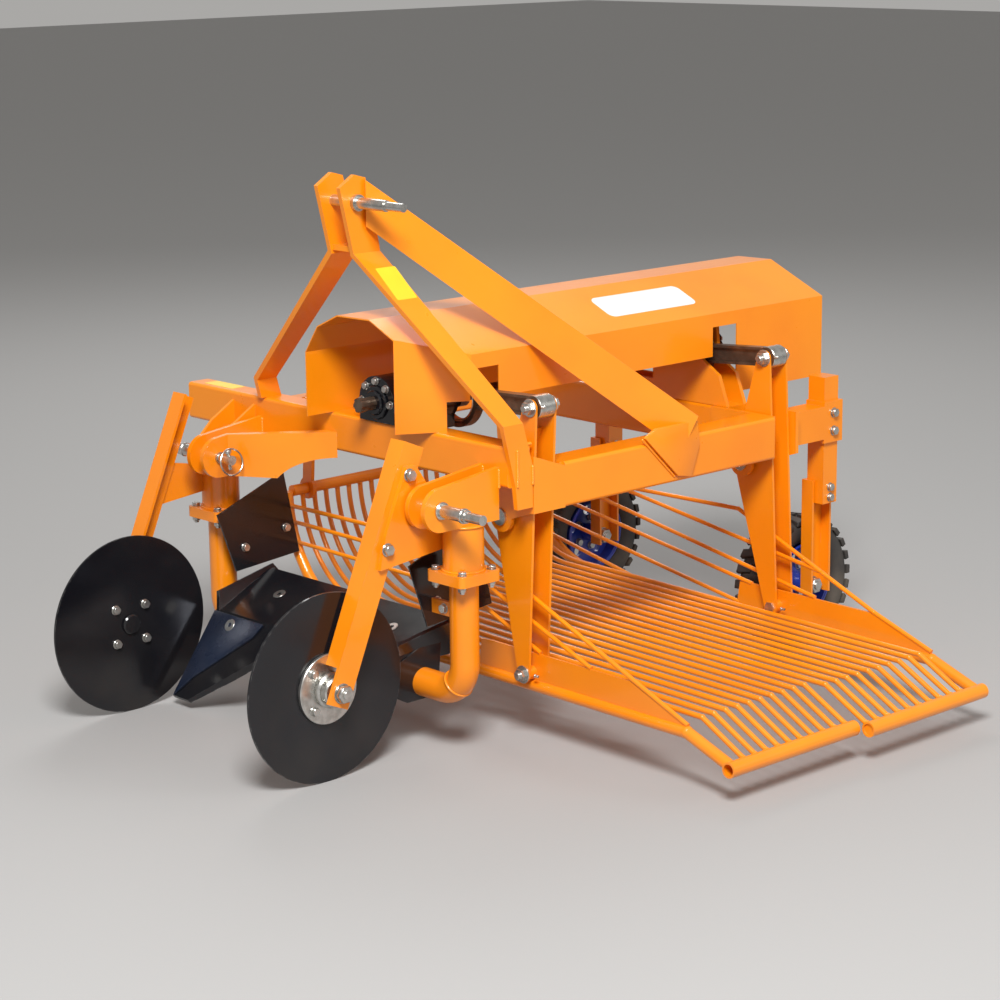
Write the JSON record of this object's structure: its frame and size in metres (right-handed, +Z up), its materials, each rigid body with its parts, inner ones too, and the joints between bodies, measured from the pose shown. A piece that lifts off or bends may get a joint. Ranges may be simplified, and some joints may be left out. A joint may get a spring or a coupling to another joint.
{
  "type": "side-discharge vibrating potato digger",
  "caption": "Three-point-hitch potato digger with disc coulters, share, two shaking rod sieves that discharge to one side, drive hood and rear wheels.",
  "frame": {"origin": "middle of the whole machine's box, on the ground", "axes": "+X to the discharge side, +Y to the rear, +Z up"},
  "size_m": [1.7178, 1.84, 1.238],
  "materials": {
    "orange_paint": "gloss orange paint",
    "black_paint": "satin black paint",
    "zinc": "zinc plated",
    "bare_steel": "oiled dark steel",
    "blue_paint": "gloss blue paint",
    "tyre": "black rubber"
  },
  "bodies": {
    "frame": {"front_beam": "orange_paint", "side_beam_near": "orange_paint", "side_beam_far": "orange_paint", "rear_beam": "orange_paint", "lug_near": "orange_paint", "lug_far": "orange_paint", "lower_pin_near": "zinc", "lower_pin_far": "zinc", "mast_near": "orange_paint", "mast_far": "orange_paint", "mast_brace": "orange_paint", "top_pin": "zinc", "hood": "orange_paint", "hood_bulkhead": "orange_paint", "gearbox": "black_paint", "arm_lugs": "orange_paint", "arm_pivot_pins": "zinc", "hanger_lugs": "orange_paint", "leg_near": "orange_paint", "leg_far": "orange_paint", "share": "black_paint", "deflector_near": "black_paint", "deflector_far": "black_paint", "disc_arm_near": "orange_paint", "disc_arm_far": "orange_paint", "wheel_stand_near": "orange_paint", "wheel_stand_far": "orange_paint"},
    "stub_shaft": {"stub_shaft": "zinc"},
    "eccentric_shaft": {"eccentric_shaft": "bare_steel"},
    "front_arm": {"arm_front": "orange_paint", "arm_front_pins": "zinc"},
    "rear_arm": {"arm_rear": "orange_paint", "arm_rear_pins": "zinc"},
    "front_conrod": {"conrod_front": "bare_steel"},
    "rear_conrod": {"conrod_rear": "bare_steel"},
    "front_sieve": {"sieve_front": "orange_paint", "sieve_front_side": "orange_paint"},
    "rear_sieve": {"sieve_rear": "orange_paint", "sieve_rear_side": "orange_paint"},
    "front_hanger": {"hanger_front": "orange_paint"},
    "rear_hanger": {"hanger_rear": "orange_paint"},
    "near_disc": {"disc_near": "black_paint"},
    "far_disc": {"disc_far": "black_paint"},
    "near_wheel": {"rim_near": "blue_paint", "tyre_near": "tyre"},
    "far_wheel": {"rim_far": "blue_paint", "tyre_far": "tyre"}
  },
  "joints": [
    {"name": "front_arm_rock", "type": "hinge", "parent": "frame", "child": "front_arm", "pos_m": [0.17307, -0.225, 0.51], "axis": [0, 1, 0], "range_deg": [-5.5, 0]},
    {"name": "front_sieve_pivot", "type": "hinge", "parent": "front_arm", "child": "front_sieve", "pos_m": [0.2224, -0.225, 0.16123], "axis": [0, 1, 0], "range_deg": [0, 5.17]},
    {"name": "front_conrod_pivot", "type": "hinge", "parent": "front_arm", "child": "front_conrod", "pos_m": [0.25099, -0.225, 0.75655], "axis": [0, 1, 0], "range_deg": [0, 4.17]},
    {"name": "front_hanger_pivot", "type": "hinge", "parent": "frame", "child": "front_hanger", "pos_m": [-0.61332, -0.161, 0.64], "axis": [0, 1, 0], "range_deg": [-8.67, 0]},
    {"name": "rear_arm_rock", "type": "hinge", "parent": "frame", "child": "rear_arm", "pos_m": [0.17307, 0.549, 0.51], "axis": [0, 1, 0], "range_deg": [0, 5.5]},
    {"name": "rear_sieve_pivot", "type": "hinge", "parent": "rear_arm", "child": "rear_sieve", "pos_m": [0.2556, 0.549, 0.16757], "axis": [0, 1, 0], "range_deg": [-5.19, 0]},
    {"name": "rear_conrod_pivot", "type": "hinge", "parent": "rear_arm", "child": "rear_conrod", "pos_m": [0.227, 0.549, 0.76288], "axis": [0, 1, 0], "range_deg": [-4.17, 0]},
    {"name": "rear_hanger_pivot", "type": "hinge", "parent": "frame", "child": "rear_hanger", "pos_m": [-0.64459, 0.485, 0.64], "axis": [0, 1, 0], "range_deg": [0, 8.7]},
    {"name": "shaft_spin", "type": "hinge", "parent": "frame", "child": "eccentric_shaft", "pos_m": [-0.01793, 0.199, 0.744], "axis": [0, 1, 0], "continuous": true},
    {"name": "stub_spin", "type": "hinge", "parent": "frame", "child": "stub_shaft", "pos_m": [-0.14993, -0.351, 0.728], "axis": [0, 1, 0], "continuous": true},
    {"name": "near_disc_spin", "type": "hinge", "parent": "frame", "child": "near_disc", "pos_m": [0.10607, -0.715, 0.205], "axis": [1, 0, 0], "continuous": true},
    {"name": "far_disc_spin", "type": "hinge", "parent": "frame", "child": "far_disc", "pos_m": [-0.59892, -0.715, 0.205], "axis": [1, 0, 0], "continuous": true},
    {"name": "near_wheel_spin", "type": "hinge", "parent": "frame", "child": "near_wheel", "pos_m": [0.12407, 0.753, 0.167], "axis": [1, 0, 0], "continuous": true},
    {"name": "far_wheel_spin", "type": "hinge", "parent": "frame", "child": "far_wheel", "pos_m": [-0.59992, 0.753, 0.167], "axis": [1, 0, 0], "continuous": true}
  ],
  "couplings": [
    {"joint": "front_sieve_pivot", "follows": "front_arm_rock", "ratio": -0.9225},
    {"joint": "front_conrod_pivot", "follows": "front_arm_rock", "ratio": -0.7432},
    {"joint": "front_hanger_pivot", "follows": "front_arm_rock", "ratio": 1.545},
    {"joint": "rear_sieve_pivot", "follows": "rear_arm_rock", "ratio": -0.9254},
    {"joint": "rear_conrod_pivot", "follows": "rear_arm_rock", "ratio": -0.7432},
    {"joint": "rear_hanger_pivot", "follows": "rear_arm_rock", "ratio": 1.5509},
    {"joint": "stub_spin", "follows": "shaft_spin", "ratio": -1}
  ]
}
